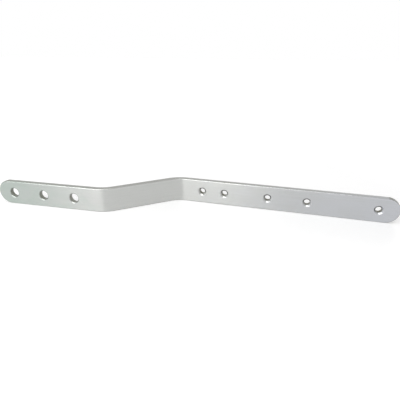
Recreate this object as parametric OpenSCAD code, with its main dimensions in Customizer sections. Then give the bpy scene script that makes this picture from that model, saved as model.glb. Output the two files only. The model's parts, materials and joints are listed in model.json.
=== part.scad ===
// Z bracket bent from one length of flat steel bar, in millimetres.
// The bar stands on its long edge. X runs along the long arm, Y from the front
// face to the back, and Z up the width of the bar. The origin is under the middle.
// A corner is the point where the centre lines of two straight lengths cross.

/* [Flat bar] */
// Width of the bar, which is the height of the bracket
bar_width = 25; // [20:1:40]
// Thickness of the bar
bar_thickness = 6; // [4:0.5:10]
// Radius of the rolled long edges
edge_radius = 1; // [0.4:0.1:1.6]

/* [Bends] */
// Length of the slanted leg from corner to corner
leg_length = 80; // [60:1:140]
// Turn between the long arm and the leg, in degrees
long_bend = 41; // [25:1:42]
// Turn between the leg and the short arm, in degrees
short_bend = 38; // [25:1:42]
// Inside radius of both bends
bend_radius = 25; // [8:1:32]

/* [Long arm screw holes] */
// Through diameter of each countersunk screw hole
screw_hole = 5.8; // [4.5:0.1:8]
// Diameter of the countersink at the front face
screw_sink = 9; // [8.2:0.1:11]
// Corner to the first hole
long_corner_gap = 28; // [24:1:60]
// First hole to the second
screw_gap_1 = 24; // [14:1:60]
// Second hole to the third
screw_gap_2 = 45; // [14:1:90]
// Third hole to the fourth
screw_gap_3 = 39; // [14:1:90]
// Fourth hole to the fifth
screw_gap_4 = 66; // [14:1:120]
// Fifth hole to the tip of the arm
long_tip_gap = 19; // [10:1:40]

/* [Short arm bolt holes] */
// Through diameter of each bolt hole
bolt_hole = 9.5; // [6:0.1:12]
// Chamfer on both mouths of each bolt hole
bolt_chamfer = 0.8; // [0.2:0.1:1.5]
// Number of bolt holes
bolt_count = 3; // [2:1:5]
// Corner to the nearest bolt hole
short_corner_gap = 33; // [26:1:60]
// Spacing of the bolt holes
bolt_pitch = 35; // [18:1:60]
// Last bolt hole to the tip of the arm
short_tip_gap = 18; // [12:1:40]

/* [Hidden] */
$fn = 96;
steel_grey = [0.76, 0.77, 0.76];
// Cutting tools run this far past the faces they leave through
past = 1;

tip_radius = bar_width / 2;
centre_radius = bend_radius + bar_thickness / 2;
ring_radius = bend_radius + bar_thickness;
sink_depth = (screw_sink - screw_hole) / 2;

// Hole places, each measured along its arm from the corner
screw_gaps = [long_corner_gap, screw_gap_1, screw_gap_2, screw_gap_3, screw_gap_4];
function total(gaps, last) = last < 0 ? 0 : gaps[last] + total(gaps, last - 1);
screw_places = [for (i = [0:len(screw_gaps) - 1]) total(screw_gaps, i)];
bolt_places = [for (i = [0:bolt_count - 1]) short_corner_gap + i * bolt_pitch];

long_arm = screw_places[len(screw_places) - 1] + long_tip_gap;
short_arm = bolt_places[bolt_count - 1] + short_tip_gap;

// A turn moved by under 0.05 degrees, to one whose sine and cosine end after six
// places, so that a turned length keeps its exact size where it meets its bend
function exact_turn(angle) =
    let (tries = [for (i = [-400:400])
                      let (c = (round(1e6 * cos(angle)) + i) / 1e6,
                           s = round(1e6 * sqrt(1 - c * c)) / 1e6)
                      [abs(c * c + s * s - 1), atan2(s, c)]],
         best = min([for (one = tries) one[0]]))
    [for (one = tries) if (one[0] == best) one[1]][0];
long_turn = exact_turn(long_bend);
short_turn = exact_turn(short_bend);

// Each bend takes this much from the straight lengths that meet at its corner
long_tangent = centre_radius * tan(long_turn / 2);
short_tangent = centre_radius * tan(short_turn / 2);

// Plan places with the long arm's corner at 0, 0
short_heading = long_turn - short_turn;
short_along = [cos(short_heading), sin(short_heading)];
short_across = [-sin(short_heading), cos(short_heading)];
short_corner = -leg_length * [cos(long_turn), sin(long_turn)];

// The rolled rim of the short tip reaches furthest out, at its front or its back.
// Where the short arm slants back, the outside of its bend comes further forward.
short_rims = [for (side = [-1, 1]) short_corner - (short_arm - edge_radius) * short_along
                                   + side * (bar_thickness / 2 - edge_radius) * short_across];
short_bend_centre = short_corner - short_tangent * short_along + centre_radius * short_across;
left_x = min([for (rim = short_rims) rim[0] - edge_radius]);
back_y = max([bar_thickness / 2, for (rim = short_rims) rim[1] + edge_radius]);
front_y = short_heading < 0
          ? short_bend_centre[1] - ring_radius
          : min([for (rim = short_rims) rim[1] - edge_radius]);
middle = [(long_arm + left_x) / 2, (back_y + front_y) / 2];

// Section of the rolled bar, thickness along x and width along y
module bar_section() {
    square([bar_thickness, bar_width - 2 * edge_radius], center = true);
    square([bar_thickness - 2 * edge_radius, bar_width], center = true);
    for (x = [-1, 1], y = [-1, 1])
        translate([x * (bar_thickness / 2 - edge_radius), y * (bar_width / 2 - edge_radius)])
            circle(r = edge_radius);
}

// Half of the section, from the middle of the bar to one rolled edge along x
module half_section() {
    translate([0, -bar_thickness / 2]) square([tip_radius - edge_radius, bar_thickness]);
    translate([0, edge_radius - bar_thickness / 2])
        square([tip_radius, bar_thickness - 2 * edge_radius]);
    for (y = [-1, 1])
        translate([tip_radius - edge_radius, y * (bar_thickness / 2 - edge_radius)])
            circle(r = edge_radius);
}

// A straight length along x, with whatever follows placed at its far end
module straight(length) {
    rotate([90, 0, 90]) linear_extrude(length) bar_section();
    translate([length, 0, 0]) children();
}

// The half of a bent ring that lies before its x = 0 plane
module half_ring() {
    rotate([0, 0, 90]) rotate_extrude(angle = 180) translate([centre_radius, 0]) bar_section();
}

// A bend that turns left by a positive angle, with whatever follows at its far end.
// It is what a half ring, turned to end with the bend, has beyond the bend's start.
module bend(turn) {
    side = sign(turn);
    translate([0, side * centre_radius, 0]) {
        difference() {
            rotate([0, 0, turn]) half_ring();
            translate([-2 * ring_radius, -2 * ring_radius, -bar_width])
                cube([2 * ring_radius, 4 * ring_radius, 2 * bar_width]);
        }
        rotate([0, 0, turn]) translate([0, -side * centre_radius, 0]) children();
    }
}

// The full-round tip that closes the bar
module tip() {
    rotate([90, 0, 0]) rotate([0, 0, -90]) rotate_extrude(angle = 180) half_section();
}

// The bent bar before drilling, followed from the long tip to the short one
module bent_bar() {
    translate([long_arm - tip_radius, 0, 0]) {
        tip();
        rotate([0, 0, 180])
            straight(long_arm - tip_radius - long_tangent) bend(long_turn)
            straight(leg_length - long_tangent - short_tangent) bend(-short_turn)
            straight(short_arm - tip_radius - short_tangent) tip();
    }
}

// A hole through the thickness with a sloped mouth of the given depth at each face
module drilled(diameter, front_mouth, back_mouth) {
    r = diameter / 2;
    half = bar_thickness / 2;
    rotate([-90, 0, 0]) rotate_extrude() polygon([
        [0, -half - past],
        [r + front_mouth + past * sign(front_mouth), -half - past],
        if (front_mouth > 0) [r, front_mouth - half],
        if (back_mouth > 0) [r, half - back_mouth],
        [r + back_mouth + past * sign(back_mouth), half + past],
        [0, half + past]
    ]);
}

module bracket() color(steel_grey) translate([-middle[0], -middle[1], bar_width / 2])
    difference() {
        bent_bar();
        for (x = screw_places) translate([x, 0, 0]) drilled(screw_hole, sink_depth, 0);
        translate(short_corner) rotate([0, 0, short_heading])
            for (x = bolt_places) translate([-x, 0, 0])
                drilled(bolt_hole, bolt_chamfer, bolt_chamfer);
    }

bracket();
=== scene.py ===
# %% [markdown]
# # A Z bracket in bright zinc
# The object is one length of flat steel bar, bent twice so that one arm is set back from the
# other, drilled along both arms and plated with zinc. It has no moving parts, so the whole
# lesson is about one surface: how to lay it out flat, the way the bar was before it was bent,
# then fold it, and how to give it a satin plated finish.

import json
import math
from collections import namedtuple

import bmesh
import bpy
import numpy as np
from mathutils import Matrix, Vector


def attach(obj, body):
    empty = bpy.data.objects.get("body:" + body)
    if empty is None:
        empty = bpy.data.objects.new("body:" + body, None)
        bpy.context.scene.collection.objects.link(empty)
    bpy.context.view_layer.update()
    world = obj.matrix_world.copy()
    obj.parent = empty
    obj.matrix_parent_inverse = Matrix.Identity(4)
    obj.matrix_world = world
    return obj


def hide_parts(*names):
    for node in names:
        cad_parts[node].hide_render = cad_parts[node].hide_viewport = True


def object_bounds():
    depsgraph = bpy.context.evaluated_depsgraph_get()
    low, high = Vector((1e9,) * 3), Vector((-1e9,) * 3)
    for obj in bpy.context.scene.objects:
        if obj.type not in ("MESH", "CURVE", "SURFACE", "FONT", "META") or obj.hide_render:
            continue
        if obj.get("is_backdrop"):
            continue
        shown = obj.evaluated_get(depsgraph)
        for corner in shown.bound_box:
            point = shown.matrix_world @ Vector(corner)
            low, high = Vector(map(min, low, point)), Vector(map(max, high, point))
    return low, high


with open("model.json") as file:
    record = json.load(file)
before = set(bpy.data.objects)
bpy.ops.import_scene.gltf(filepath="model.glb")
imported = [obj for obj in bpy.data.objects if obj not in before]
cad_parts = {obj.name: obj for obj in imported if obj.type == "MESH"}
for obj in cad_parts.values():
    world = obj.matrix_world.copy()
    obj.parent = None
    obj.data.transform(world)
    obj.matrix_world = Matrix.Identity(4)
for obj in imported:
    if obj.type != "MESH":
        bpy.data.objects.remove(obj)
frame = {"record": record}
cad_box = [list(corner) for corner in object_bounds()]
mounts = {mount["name"]: mount for mount in frame["record"]["mounts"]}
MM = 0.001
print("CAD box in mm:", np.round(np.array(cad_box) / MM, 2).tolist())

# %% [markdown]
# ## The bar and its centre line
# A press brake bends the bar round a former, so every bend is an arc and the metal halfway
# through the thickness keeps its length. That line is the natural ruler for the bracket:
# `along` runs from the short tip to the long one, `across` goes up the width, and `depth`
# goes from the front face to the back. A Simple Deform modifier could bend a straight bar,
# but a formula gives the same arcs as the CAD part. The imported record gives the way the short
# arm faces, and the place of its middle bolt hole fixes where the line starts.

# %% Sizes of the bar, in millimetres
bar_width = 25.0
bar_thickness = 6.0
edge_radius = 1.0
short_arm = 121.0
leg_length = 80.0
long_arm = 221.0
inside_bend_radius = 25.0
long_turn = math.radians(40.975)

half_thickness = bar_thickness / 2
tip_radius = bar_width / 2
bolt_mount = mounts["short_arm_bolt_middle"]
short_heading = math.atan2(bolt_mount["axis"][0], -bolt_mount["axis"][1])
short_turn = long_turn - short_heading
print(f"the short arm is {math.degrees(short_heading):.2f} degrees off parallel")

# %% The stretches of the centre line
line_radius = inside_bend_radius + half_thickness
short_tangent = line_radius * math.tan(short_turn / 2)
long_tangent = line_radius * math.tan(long_turn / 2)

# Each stretch is its length and how far it turns to the left
stretches = [
    (short_arm - short_tangent, 0.0),
    (line_radius * short_turn, short_turn),
    (leg_length - short_tangent - long_tangent, 0.0),
    (line_radius * long_turn, -long_turn),
    (long_arm - long_tangent, 0.0),
]
line_length = sum(length for length, turn in stretches)
print(f"the flat bar is {line_length:.2f} mm long")

# %% Where the bolt holes are along the flat bar
bolt_count = 3
bolt_tip_gap = 18.0
bolt_pitch = mounts["short_arm_bolts_outer"]["dims"]["pcd_mm"] / (bolt_count - 1)
bolt_places = [bolt_tip_gap + i * bolt_pitch for i in range(bolt_count)]
print("bolt holes at", np.round(bolt_places, 1))


# %% Folding the flat bar
def centre_line(along):
    """x, y and heading of the centre line: a straight stretch adds its length in the
    heading's direction, and a bend swings the point round a circle of the line radius."""
    slack = 1e-6
    x, y, heading = (np.zeros_like(along) for _ in range(3))
    start_along, start_x, start_y, start_heading = 0.0, 0.0, 0.0, short_heading
    for length, turn in stretches:
        here = (along >= start_along - slack) & (along <= start_along + length + slack)
        run = np.append(along[here] - start_along, length)
        if turn == 0:
            headings = np.full_like(run, start_heading)
            xs = start_x + run * math.cos(start_heading)
            ys = start_y + run * math.sin(start_heading)
        else:
            side = math.copysign(line_radius, turn)
            headings = start_heading + run / side
            xs = start_x + side * (np.sin(headings) - math.sin(start_heading))
            ys = start_y - side * (np.cos(headings) - math.cos(start_heading))
        x[here], y[here], heading[here] = xs[:-1], ys[:-1], headings[:-1]
        start_along += length
        start_x, start_y, start_heading = xs[-1], ys[-1], headings[-1]
    return x, y, heading


def folded(flat):
    """Bends flat places (along, across, depth): the point steps off the centre line by its
    depth, square to the heading, and stands at its height above the lower edge."""
    along, across, depth = flat.T
    x, y, heading = centre_line(along)
    return np.stack([x - depth * np.sin(heading), y + depth * np.cos(heading),
                     across + tip_radius], axis=1)


# The middle bolt hole is where the record says, and that places the whole line
middle_bolt = np.array([[bolt_places[bolt_count // 2], 0.0, 0.0]])
line_start = np.array(bolt_mount["pos_m"]) / MM - folded(middle_bolt)[0]
print("the line starts at", np.round(line_start, 2))

# %% Where the screw holes are along the flat bar
# The record has them as one bore and two pairs, and a pair by its middle and its gap
screw_x = [mounts["long_arm_screw_middle"]["pos_m"][0] / MM]
for pair in (mounts["long_arm_screws_outer"], mounts["long_arm_screws_inner"]):
    pair_x = pair["pos_m"][0] / MM
    half_gap = pair["dims"]["spacing_x_mm"] / 2
    screw_x += [pair_x - half_gap, pair_x + half_gap]

# The long arm lies along x, so a hole is as far from the tip on the flat bar as it is in x
long_tip = np.array([[line_length, 0.0, 0.0]])
long_tip_x = (folded(long_tip)[0] + line_start)[0]
screw_places = sorted(line_length - (long_tip_x - x) for x in screw_x)
print("screw holes at", np.round(screw_places, 1))

# %% [markdown]
# ## Tiling the two faces
# A face with holes in it could be cut with booleans, but they leave long thin triangles that
# shade badly on a smooth plated face. Here each hole gets a tile of its own instead: rings of
# points that start as the round mouth and end as the tile's outline. Plain grids fill the
# stretches between the tiles, and the tiles at the two ends take the round tips as outlines.

# %% The holes, and the tile that each one gets
# The last field is how much painted shade, and dullness, the hole's bore wall gets
Hole = namedtuple("Hole", "place radius front_mouth back_mouth tile_half dullness")
bolt_radius = bolt_mount["dims"]["r_mm"]
screw_radius = mounts["long_arm_screw_middle"]["dims"]["r_mm"]
bolt_chamfer = 0.8
screw_sink = 1.6
holes = [Hole(place, bolt_radius, bolt_chamfer, bolt_chamfer, tile_half=10.0, dullness=0.72)
         for place in bolt_places]
holes += [Hole(place, screw_radius, screw_sink, 0.0, tile_half=8.0, dullness=1.0)
          for place in screw_places]

short_tip_centre = tip_radius
long_tip_centre = line_length - tip_radius
tile_ends = [(hole.place - hole.tile_half, hole.place + hole.tile_half) for hole in holes]
tile_ends[0] = (short_tip_centre, tile_ends[0][1])
tile_ends[-1] = (tile_ends[-1][0], long_tip_centre)
strip_ends = [(tile_ends[i][1], tile_ends[i + 1][0]) for i in range(len(holes) - 1)]
print(len(tile_ends), "tiles with", len(strip_ends), "plain stretches between them")

# %% Rows across the bar and stations along it, shared by all the patches
row_count = 15
outer_row = 0.965
station_step = 1.2
tile_stations = 17
tip_steps = 33

flat_half = tip_radius - edge_radius
rows = np.concatenate([[-1.0], np.linspace(-outer_row, outer_row, row_count), [1.0]]) * flat_half
strips = [np.linspace(a, b, max(3, round((b - a) / station_step) + 1)) for a, b in strip_ends]
tiles = [np.linspace(a, b, tile_stations) for a, b in tile_ends]
stations = np.unique(np.round(np.concatenate(strips + tiles), 6))
tip_swing = np.radians(np.linspace(-90, 90, tip_steps))
print(len(stations), "stations along the bar and", len(rows), "rows across it")

# %% Keeping patches of the flat surface
patches = []


def add_patch(points, dull=0.0, closed=False):
    """Keeps a grid of flat places, how much painted shade and dullness each has, and its quads;
    a closed grid joins its last column to its first, as round a hole."""
    height, width = points.shape[:2]
    index = np.arange(height * width).reshape(height, width)
    if closed:
        index = np.column_stack([index, index[:, 0]])
    quads = np.stack([index[:-1, :-1], index[:-1, 1:], index[1:, 1:], index[1:, :-1]], axis=-1)
    dull = np.broadcast_to(dull, (height, width))
    patches.append((points.reshape(-1, 3), dull.reshape(-1), quads.reshape(-1, 4)))


def flat_points(along, across, depth):
    """Flat places on a grid, from numbers or arrays that fill out to the same grid."""
    return np.stack(np.broadcast_arrays(along, across, depth), axis=-1).astype(float)


def span(first, last):
    """The stations from first to last, both counted in."""
    slack = 1e-4
    return stations[(stations > first - slack) & (stations < last + slack)]


for depth in (-half_thickness, half_thickness):
    for strip in strips:
        add_patch(flat_points(span(strip[0], strip[-1])[:, None], rows[None, :], depth))
print(len(patches), "plain patches on the two faces")

# %% [markdown]
# ## The holes
# The screw holes are countersunk from the front, so that screw heads lie flush, and the bolt
# holes have a light chamfer at both mouths. No drilled edge is a knife edge: its lip catches
# the light as a thin bright line. A hole is a profile of radius and depth, with its corners
# softened, carried round the hole's axis. It uses the angles of the tile's outline, so that
# the wall and the two faces share their points and close without a seam.


# %% Outline of a tile and profile of a hole
def tile_outline(first, last, left_tip, right_tip):
    """Outline of a tile, to the left round from its lower right: up the right side, back
    along the top, down the left side and out along the bottom. A side that is a tip is a
    half circle instead of a column of rows."""
    bottom, top = span(first, last)[1:], span(first, last)[::-1][1:]
    right = np.column_stack([np.full(len(rows), last), rows])
    left = np.column_stack([np.full(len(rows), first), rows[::-1]])
    round_side = flat_half * np.column_stack([np.cos(tip_swing), np.sin(tip_swing)])
    if right_tip:
        right = round_side + [last, 0.0]
    if left_tip:
        left = -round_side + [first, 0.0]
    upper = np.column_stack([top, np.full(len(top), flat_half)])[:-1]
    lower = np.column_stack([bottom, np.full(len(bottom), -flat_half)])[:-1]
    return np.concatenate([right, upper, left, lower])


def eased(corners, ease, steps=5):
    """A bent profile with softened corners: each inner corner becomes the curve from a point
    just before it to a point just after, (1-k)^2 a + 2k(1-k) corner + k^2 b."""
    k = np.linspace(0, 1, steps)[:, None]
    soft = []
    for before, corner, after in zip(corners[:-2], corners[1:-1], corners[2:]):
        a = corner + ease * (before - corner) / np.linalg.norm(before - corner)
        b = corner + ease * (after - corner) / np.linalg.norm(after - corner)
        soft.append((1 - k) ** 2 * a + 2 * k * (1 - k) * corner + k ** 2 * b)
    return np.concatenate(soft)


mouth_ease = 0.22


def hole_profile(hole):
    """Radius and depth down a hole, from the front face to the back face. The first and the
    last corner lie out on the faces, and only give the direction that the lips start in."""
    front_radius, back_radius = hole.radius + hole.front_mouth, hole.radius + hole.back_mouth
    corners = [(front_radius + 1, -half_thickness), (front_radius, -half_thickness)]
    if hole.front_mouth:
        corners.append((hole.radius, hole.front_mouth - half_thickness))
    if hole.back_mouth:
        corners.append((hole.radius, half_thickness - hole.back_mouth))
    corners += [(back_radius, half_thickness), (back_radius + 1, half_thickness)]
    return eased(np.array(corners), mouth_ease)


print("a screw hole has", len(hole_profile(holes[-1])), "steps from face to face")

# %% A tile on each face and a wall for every hole
ring_count = 7
ring_crowding = 1.6
ring_share = np.linspace(0, 1, ring_count)[:, None] ** ring_crowding

for number, hole in enumerate(holes):
    first, last = tile_ends[number]
    outline = tile_outline(first, last, number == 0, number == len(holes) - 1)
    angle = np.arctan2(outline[:, 1], outline[:, 0] - hole.place)
    profile = hole_profile(hole)
    for radius, depth in (profile[0], profile[-1]):
        mouth = np.column_stack([hole.place + radius * np.cos(angle), radius * np.sin(angle)])
        rings = mouth[None] + ring_share[..., None] * (outline - mouth)[None]
        add_patch(flat_points(rings[..., 0], rings[..., 1], depth), closed=True)
    wall_radius, wall_depth = profile[:, :1], profile[:, 1:]
    # Painted shade in the bore: the wall, not the chamfers, is darkened as shade in a recess, and
    # made rougher
    bore_shade_and_dull = hole.dullness * np.clip(1 - (wall_radius - hole.radius) / mouth_ease, 0, 1)
    add_patch(flat_points(hole.place + wall_radius * np.cos(angle), wall_radius * np.sin(angle),
                          wall_depth), bore_shade_and_dull, closed=True)
print(len(patches), "patches with the holes")

# %% [markdown]
# ## The rolled rim
# Rolled bar has softly rounded long edges, and the tips are rounded to match. A Bevel modifier
# could round a sharp-edged bar, but it would round the mouths of the holes as well. So the rim
# is one closed band: it follows the outline of the flat faces, rolls over a quarter circle to
# the narrow edge, crosses the thickness and rolls over to the other face. The rim carries
# painted shade and is rougher than the faces: the upper edge is painted darker, a little more
# so towards the short tip, the cut tips, which were not rolled, darker still, and the lower
# edge, which the bracket stands on, darkest of all, as a painted contact shadow.

# %% The rim
# The upper edge's painted shade is given at the short tip and at the long one
roll_steps = 8
upper_edge_shade = (0.52, 0.30)
tip_edge_shade = 0.85
lower_edge_shade = 0.95

side = span(short_tip_centre, long_tip_centre)
inner_swing = tip_swing[1:-1]
out_angle = np.concatenate([np.full(len(side), -math.pi / 2), inner_swing,
                            np.full(len(side), math.pi / 2), math.pi + inner_swing])
base_along = np.concatenate([side, np.full(len(inner_swing), long_tip_centre),
                             side[::-1], np.full(len(inner_swing), short_tip_centre)])

roll = np.radians(np.linspace(0, 90, roll_steps))
rolled_out = np.concatenate([np.sin(roll), np.ones(3), np.sin(roll[::-1])])
rim_reach = rolled_out * edge_radius + flat_half
core = half_thickness - edge_radius
rim_depth = np.concatenate([-core - edge_radius * np.cos(roll), core * np.array([-0.5, 0.0, 0.5]),
                            core + edge_radius * np.cos(roll[::-1])])

rolled_edge = np.interp(side, [0.0, line_length], upper_edge_shade)
cut_edge = np.full(len(inner_swing), tip_edge_shade)
stood_edge = np.full(len(side), lower_edge_shade)
rim_shade_levels = np.concatenate([stood_edge, cut_edge, rolled_edge[::-1], cut_edge])
# Painted shade on the rim, strongest across the narrow edge, which also makes it rougher
rim_shade_and_dull = rolled_out[:, None] ** 2 * rim_shade_levels
add_patch(flat_points(base_along + rim_reach[:, None] * np.cos(out_angle),
                      rim_reach[:, None] * np.sin(out_angle), rim_depth[:, None]),
          rim_shade_and_dull, closed=True)
print("a rim of", len(rim_depth), "rows and", len(base_along), "columns")

# %% [markdown]
# ## Welding and folding
# The patches meet point for point, so one closed skin comes from merging the points that lie
# in the same place. It is welded while it is still flat, where places are easy to compare,
# and then every point is folded at once. Two attributes stay on the mesh for the finish: the
# flat place of each point, and how much painted shade and dullness it has.

# %% Welding the patches
weld_steps_per_mm = 1e4
flat = np.concatenate([points for points, dull, quads in patches])
dull = np.concatenate([dull for points, dull, quads in patches])
offsets = np.cumsum([0] + [len(points) for points, dull, quads in patches[:-1]])
quads = np.concatenate([patch[2] + offset for patch, offset in zip(patches, offsets)])
cells = np.round(flat * weld_steps_per_mm).astype(np.int64)
_, first_of, weld = np.unique(cells, axis=0, return_index=True, return_inverse=True)
flat, dull, quads = flat[first_of], dull[first_of], weld.reshape(-1)[quads]

edges = np.sort(np.concatenate([quads[:, [i, (i + 1) % 4]] for i in range(4)]), axis=1)
uses = np.unique(edges, axis=0, return_counts=True)[1]
print(len(flat), "points,", len(quads), "quads, edges not shared by two:", int((uses != 2).sum()))

# %% Folding, and making the mesh
bracket_mesh = bpy.data.meshes.new("plated_bracket")
bracket_mesh.from_pydata(((folded(flat) + line_start) * MM).tolist(), [], quads.tolist())
unfolded = bracket_mesh.attributes.new("unfolded", "FLOAT_VECTOR", "POINT")
unfolded.data.foreach_set("vector", (flat * MM).astype(np.float32).ravel())
dullness = bracket_mesh.attributes.new("dull", "FLOAT", "POINT")
dullness.data.foreach_set("value", dull.astype(np.float32))
bracket_mesh.shade_smooth()
bracket = bpy.data.objects.new("plated_bracket", bracket_mesh)
bpy.context.collection.objects.link(bracket)

# The patches were laid out in different directions, so the faces are turned outwards together
work = bmesh.new()
work.from_mesh(bracket_mesh)
bmesh.ops.recalc_face_normals(work, faces=work.faces)
print(f"volume {work.calc_volume() / MM ** 3:.0f} cubic mm")
work.to_mesh(bracket_mesh)
work.free()

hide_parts("bracket")
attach(bracket, "root")

# %% [markdown]
# ## The zinc plate
# Bright zinc is a thin metal skin. It takes the faint lengthwise grain of the rolled bar and
# is a little cloudy, so its gloss changes softly from place to place. One colour and one gloss
# all over would look too perfect, and an image would blur close up, so the finish is made of
# noise. The pattern has to follow the bar round its bends, so it reads the `unfolded`
# attribute: the place that each point had before bending, in metres.


# %% Helpers for shader nodes
def feed(tree, socket, value):
    """Links another node's output to a socket, or sets a plain value on it."""
    if isinstance(value, bpy.types.NodeSocket):
        tree.links.new(value, socket)
    else:
        socket.default_value = value


def maths(tree, operation, first, second):
    """Two values combined, such as their sum, product or larger one."""
    node = tree.nodes.new("ShaderNodeMath")
    node.operation = operation
    feed(tree, node.inputs[0], first)
    feed(tree, node.inputs[1], second)
    return node.outputs["Value"]


def spread(tree, value, low, high, start=0.3, end=0.7):
    """Turns start to end of a value into low to high. Noise seldom leaves 0.3 to 0.7."""
    node = tree.nodes.new("ShaderNodeMapRange")
    for name, number in (("Value", value), ("From Min", start), ("From Max", end),
                         ("To Min", low), ("To Max", high)):
        feed(tree, node.inputs[name], number)
    return node.outputs["Result"]


def mixed(tree, share, first, second):
    """A colour between two: the first at a share of 0 and the second at 1. A Mix node has
    sockets for every type of value, and its colours are inputs 6 and 7 and output 2."""
    node = tree.nodes.new("ShaderNodeMix")
    node.data_type = "RGBA"
    feed(tree, node.inputs[0], share)
    feed(tree, node.inputs[6], first)
    feed(tree, node.inputs[7], second)
    return node.outputs[2]


def attribute(tree, name, output):
    """A mesh attribute, read as a vector or as a number."""
    node = tree.nodes.new("ShaderNodeAttribute")
    node.attribute_name = name
    return node.outputs[output]


def noise(tree, place, along, across, detail):
    """Noise with so many cells to the metre along the bar and across it."""
    stretch = tree.nodes.new("ShaderNodeMapping")
    feed(tree, stretch.inputs["Vector"], place)
    feed(tree, stretch.inputs["Scale"], (along, across, across))
    pattern = tree.nodes.new("ShaderNodeTexNoise")
    feed(tree, pattern.inputs["Vector"], stretch.outputs["Vector"])
    feed(tree, pattern.inputs["Scale"], 1.0)
    feed(tree, pattern.inputs["Detail"], detail)
    return pattern.outputs["Fac"]


# %% The patterns in the plate
plate_material = bpy.data.materials.new("zinc_plate")
plate_material.use_nodes = True
plate = plate_material.node_tree
plate_shader = plate.nodes["Principled BSDF"]
plate_shader.inputs["Metallic"].default_value = 1.0

place = attribute(plate, "unfolded", "Vector")
grain = noise(plate, place, along=60.0, across=5200.0, detail=2.0)
streak = noise(plate, place, along=14.0, across=650.0, detail=2.0)
cloud = noise(plate, place, along=45.0, across=90.0, detail=3.0)
patchy = noise(plate, place, along=90.0, across=400.0, detail=2.0)
# Painted shade on the edges and the hole walls, broken up by patchy noise; it also roughens them
dull_and_shade = maths(plate, "MULTIPLY", attribute(plate, "dull", "Fac"), spread(plate, patchy, 0.80, 1.15))
print(len(plate.nodes), "nodes make the plate's patterns")

# %% [markdown]
# ## Colour and gloss of the plate
# The clear film over the zinc is faintly green at the short tip and faintly blue at the long
# one. A colour ramp along the bar gives that drift, moved a little by the clouds so that no
# straight border shows; the ramp is also painted light and shade, darker at the short tip and
# lighter at the long one. Clouds, grain and streaks then change the colour by a tenth or so,
# and painted shade darkens the narrow edges and the hole walls, which are also made rougher.
# Roughness follows the same patterns, and a bump two hundredths of a millimetre high gives the
# grain its relief.

# %% Colour of the plate
# Painted light and shade in the ramp: the short tip's colour is darker and the long tip's lighter
# than the film's own tint
short_tip_tint_and_shade = (0.415, 0.468, 0.434, 1)
middle_tint = (0.487, 0.493, 0.480, 1)
long_tip_tint_and_light = (0.505, 0.516, 0.548, 1)
middle_stops = (0.30, 0.55)
cloud_colour = (0.62, 0.63, 0.62, 1)
grain_colour = (0.36, 0.37, 0.36, 1)
streak_colour = (0.40, 0.41, 0.40, 1)
# Dark colour of the painted shade on the edges and hole walls
painted_shade_colour = (0.12, 0.117, 0.088, 1)

axes = plate.nodes.new("ShaderNodeSeparateXYZ")
feed(plate, axes.inputs["Vector"], place)
share_along = spread(plate, axes.outputs["X"], 0.0, 1.0, start=0.0, end=line_length * MM)
tints_and_shading = plate.nodes.new("ShaderNodeValToRGB")
feed(plate, tints_and_shading.inputs["Fac"], maths(plate, "ADD", share_along, spread(plate, cloud, -0.08, 0.08)))
tints_and_shading.color_ramp.elements[0].color = short_tip_tint_and_shade
tints_and_shading.color_ramp.elements[1].color = long_tip_tint_and_light
for stop in middle_stops:
    tints_and_shading.color_ramp.elements.new(stop).color = middle_tint

colour = mixed(plate, spread(plate, cloud, 0.0, 0.10), tints_and_shading.outputs["Color"], cloud_colour)
colour = mixed(plate, spread(plate, grain, 0.0, 0.12), colour, grain_colour)
colour = mixed(plate, spread(plate, streak, 0.0, 0.16), colour, streak_colour)
# Painted shade darkens the edges and the hole walls
colour = mixed(plate, dull_and_shade, colour, painted_shade_colour)
feed(plate, plate_shader.inputs["Base Color"], colour)
print("tints along the bar at", [round(stop.position, 2) for stop in tints_and_shading.color_ramp.elements])

# %% Gloss and grain of the plate
grain_strength = 0.12
grain_height = 0.02 * MM

roughness = spread(plate, cloud, 0.19, 0.23)
roughness = maths(plate, "ADD", roughness, spread(plate, streak, -0.02, 0.03))
roughness = maths(plate, "ADD", roughness, spread(plate, grain, -0.02, 0.02))
roughness = maths(plate, "ADD", roughness, spread(plate, dull_and_shade, 0.0, 0.12, start=0.0, end=1.0))
feed(plate, plate_shader.inputs["Roughness"], roughness)

bump = plate.nodes.new("ShaderNodeBump")
bump.inputs["Strength"].default_value = grain_strength
bump.inputs["Distance"].default_value = grain_height
feed(plate, bump.inputs["Height"], grain)
feed(plate, plate_shader.inputs["Normal"], bump.outputs["Normal"])
bracket_mesh.materials.append(plate_material)
print(len(plate.nodes), "nodes in the finished plate")

# %% [markdown]
# ## The white ground
# The bracket stands on its edge on a white sweep. The white is a strength of 1 for the camera
# and for reflections, so the metal mirrors the same white that the picture shows, while other
# rays get less, so that the lamps still model the bar and the floor keeps its shadow. The
# floor is half glossy: it mirrors the front lamp into the upright faces, which is what makes
# them brighten and darken at the bends. Near the bracket the lamps light the floor, and
# further off its own glow takes over, so that no horizon shows.


# %% The floor
def seen_directly(tree):
    """1 for camera, glossy and transmission rays, and 0 for the rest."""
    path = tree.nodes.new("ShaderNodeLightPath")
    seen = path.outputs["Is Camera Ray"]
    for name in ("Is Glossy Ray", "Is Transmission Ray"):
        seen = maths(tree, "MAXIMUM", seen, path.outputs[name])
    return seen


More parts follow.
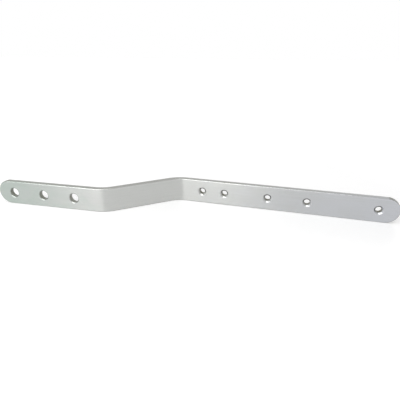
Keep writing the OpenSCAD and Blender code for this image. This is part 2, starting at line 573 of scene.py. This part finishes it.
def white_floor():
    """Half-glossy white whose glow grows with the distance from the bracket, in metres."""
    lit_reach, glow_reach = 0.25, 0.9
    near_glow, far_glow = 0.31, 1.0
    material = bpy.data.materials.new("white_floor")
    material.use_nodes = True
    material.cycles.emission_sampling = "NONE"
    tree = material.node_tree
    shader = tree.nodes["Principled BSDF"]
    shader.inputs["Base Color"].default_value = (0.8, 0.8, 0.8, 1)
    shader.inputs["Roughness"].default_value = 0.30
    shader.inputs["Emission Color"].default_value = (1, 1, 1, 1)
    spot = tree.nodes.new("ShaderNodeTexCoord")
    distance = tree.nodes.new("ShaderNodeVectorMath")
    distance.operation = "LENGTH"
    feed(tree, distance.inputs[0], spot.outputs["Object"])
    glow = spread(tree, distance.outputs["Value"], near_glow, far_glow, lit_reach, glow_reach)
    feed(tree, shader.inputs["Emission Strength"], maths(tree, "MULTIPLY", seen_directly(tree), glow))
    return material


floor_half = 4.0
floor_mesh = bpy.data.meshes.new("floor")
corners = np.array([[-1, -1, 0], [1, -1, 0], [1, 1, 0], [-1, 1, 0]]) * floor_half
floor_mesh.from_pydata(corners.tolist(), [], [(0, 1, 2, 3)])
floor_mesh.materials.append(white_floor())
floor = bpy.data.objects.new("floor", floor_mesh)
bpy.context.collection.objects.link(floor)
floor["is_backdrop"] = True
print("floor of", 2 * floor_half, "m each way")

# %% The world
fill_strength = 0.55
white_strength = 1.0
world = bpy.data.worlds.new("studio")
bpy.context.scene.world = world
world.use_nodes = True
world.cycles.sampling_method = "NONE"
sky = world.node_tree.nodes["Background"]
sky.inputs["Color"].default_value = (1, 1, 1, 1)
strength = spread(world.node_tree, seen_directly(world.node_tree), fill_strength, white_strength,
                  start=0.0, end=1.0)
feed(world.node_tree, sky.inputs["Strength"], strength)
print("world strength", fill_strength, "as fill light and", white_strength, "where it is seen")

# %% [markdown]
# ## Lamps
# A polished edge is drawn by what it mirrors, so the lamps are broad boxes and not points. A
# long box overhead lights the floor and the upper edge. A wide one low in front is the light
# that the floor throws into the faces of both arms and not into the slanted leg. A small one
# at the side draws the bright line along the short arm's rolled edge.


# %% Three soft boxes
def softbox(name, place, target, width, height, watts):
    """A rectangular lamp, in metres, that faces its target: it tilts from straight down by
    the angle between the line to the target and the vertical, then turns to that side."""
    lamp = bpy.data.lights.new(name, "AREA")
    lamp.shape = "RECTANGLE"
    lamp.size, lamp.size_y, lamp.energy = width, height, watts
    away = np.array(place) - np.array(target)
    holder = bpy.data.objects.new(name, lamp)
    holder.location = place
    holder.rotation_euler = (math.atan2(math.hypot(away[0], away[1]), away[2]), 0,
                             math.atan2(away[0], -away[1]))
    bpy.context.collection.objects.link(holder)
    print(f"{name}: {watts} W at {np.linalg.norm(away):.2f} m")


softbox("top_box", place=(-0.10, -0.44, 0.88), target=(-0.1, 0.0, 0.0),
        width=0.75, height=0.3, watts=2.0)
softbox("front_box", place=(-0.31, -0.80, 0.38), target=(-0.31, 0.0, 0.01),
        width=0.57, height=0.40, watts=2.65)
softbox("side_box", place=(-0.61, -0.52, 0.58), target=(-0.12, -0.02, 0.02),
        width=0.3, height=0.3, watts=1.2)

# %% [markdown]
# ## Camera
# The photograph was taken from close by with a fairly wide view, which is why the bar looks
# taller at its near end. The camera's place, its two angles and its lens were fitted to the
# outline and the hole centres together, because a change of lens can hide one of distance.

# %% Camera at the photograph's viewing angle
looks_down = 23.17
looks_left = 15.98
camera_data = bpy.data.cameras.new("camera")
camera_data.sensor_width = 36.0
camera_data.lens = 32.56
camera_data.clip_start = 0.01
camera = bpy.data.objects.new("camera", camera_data)
camera.location = (0.1049, -0.3198, 0.1565)
camera.rotation_euler = (math.radians(90 - looks_down), 0, math.radians(looks_left))
bpy.context.collection.objects.link(camera)
bpy.context.scene.camera = camera
bpy.context.scene.view_settings.view_transform = "Standard"
print(f"view {math.degrees(camera_data.angle):.1f} degrees wide, looking down {looks_down} degrees")

# %% [markdown]
# ## The end
# The finished bracket has to fill the same box as the imported CAD part, since it takes its
# place. The CAD box is printed at the start and the difference of the two boxes here, and a few
# hundredths of a millimetre between them come from the facets of the CAD mesh, which cut the
# round tips a little short.

# %% Sizes for comparison, and the end
scene_box = [list(corner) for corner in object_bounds()]
difference = (np.array(scene_box) - np.array(cad_box)) / MM
print("scene box less CAD box in mm:", np.round(difference, 3).tolist())
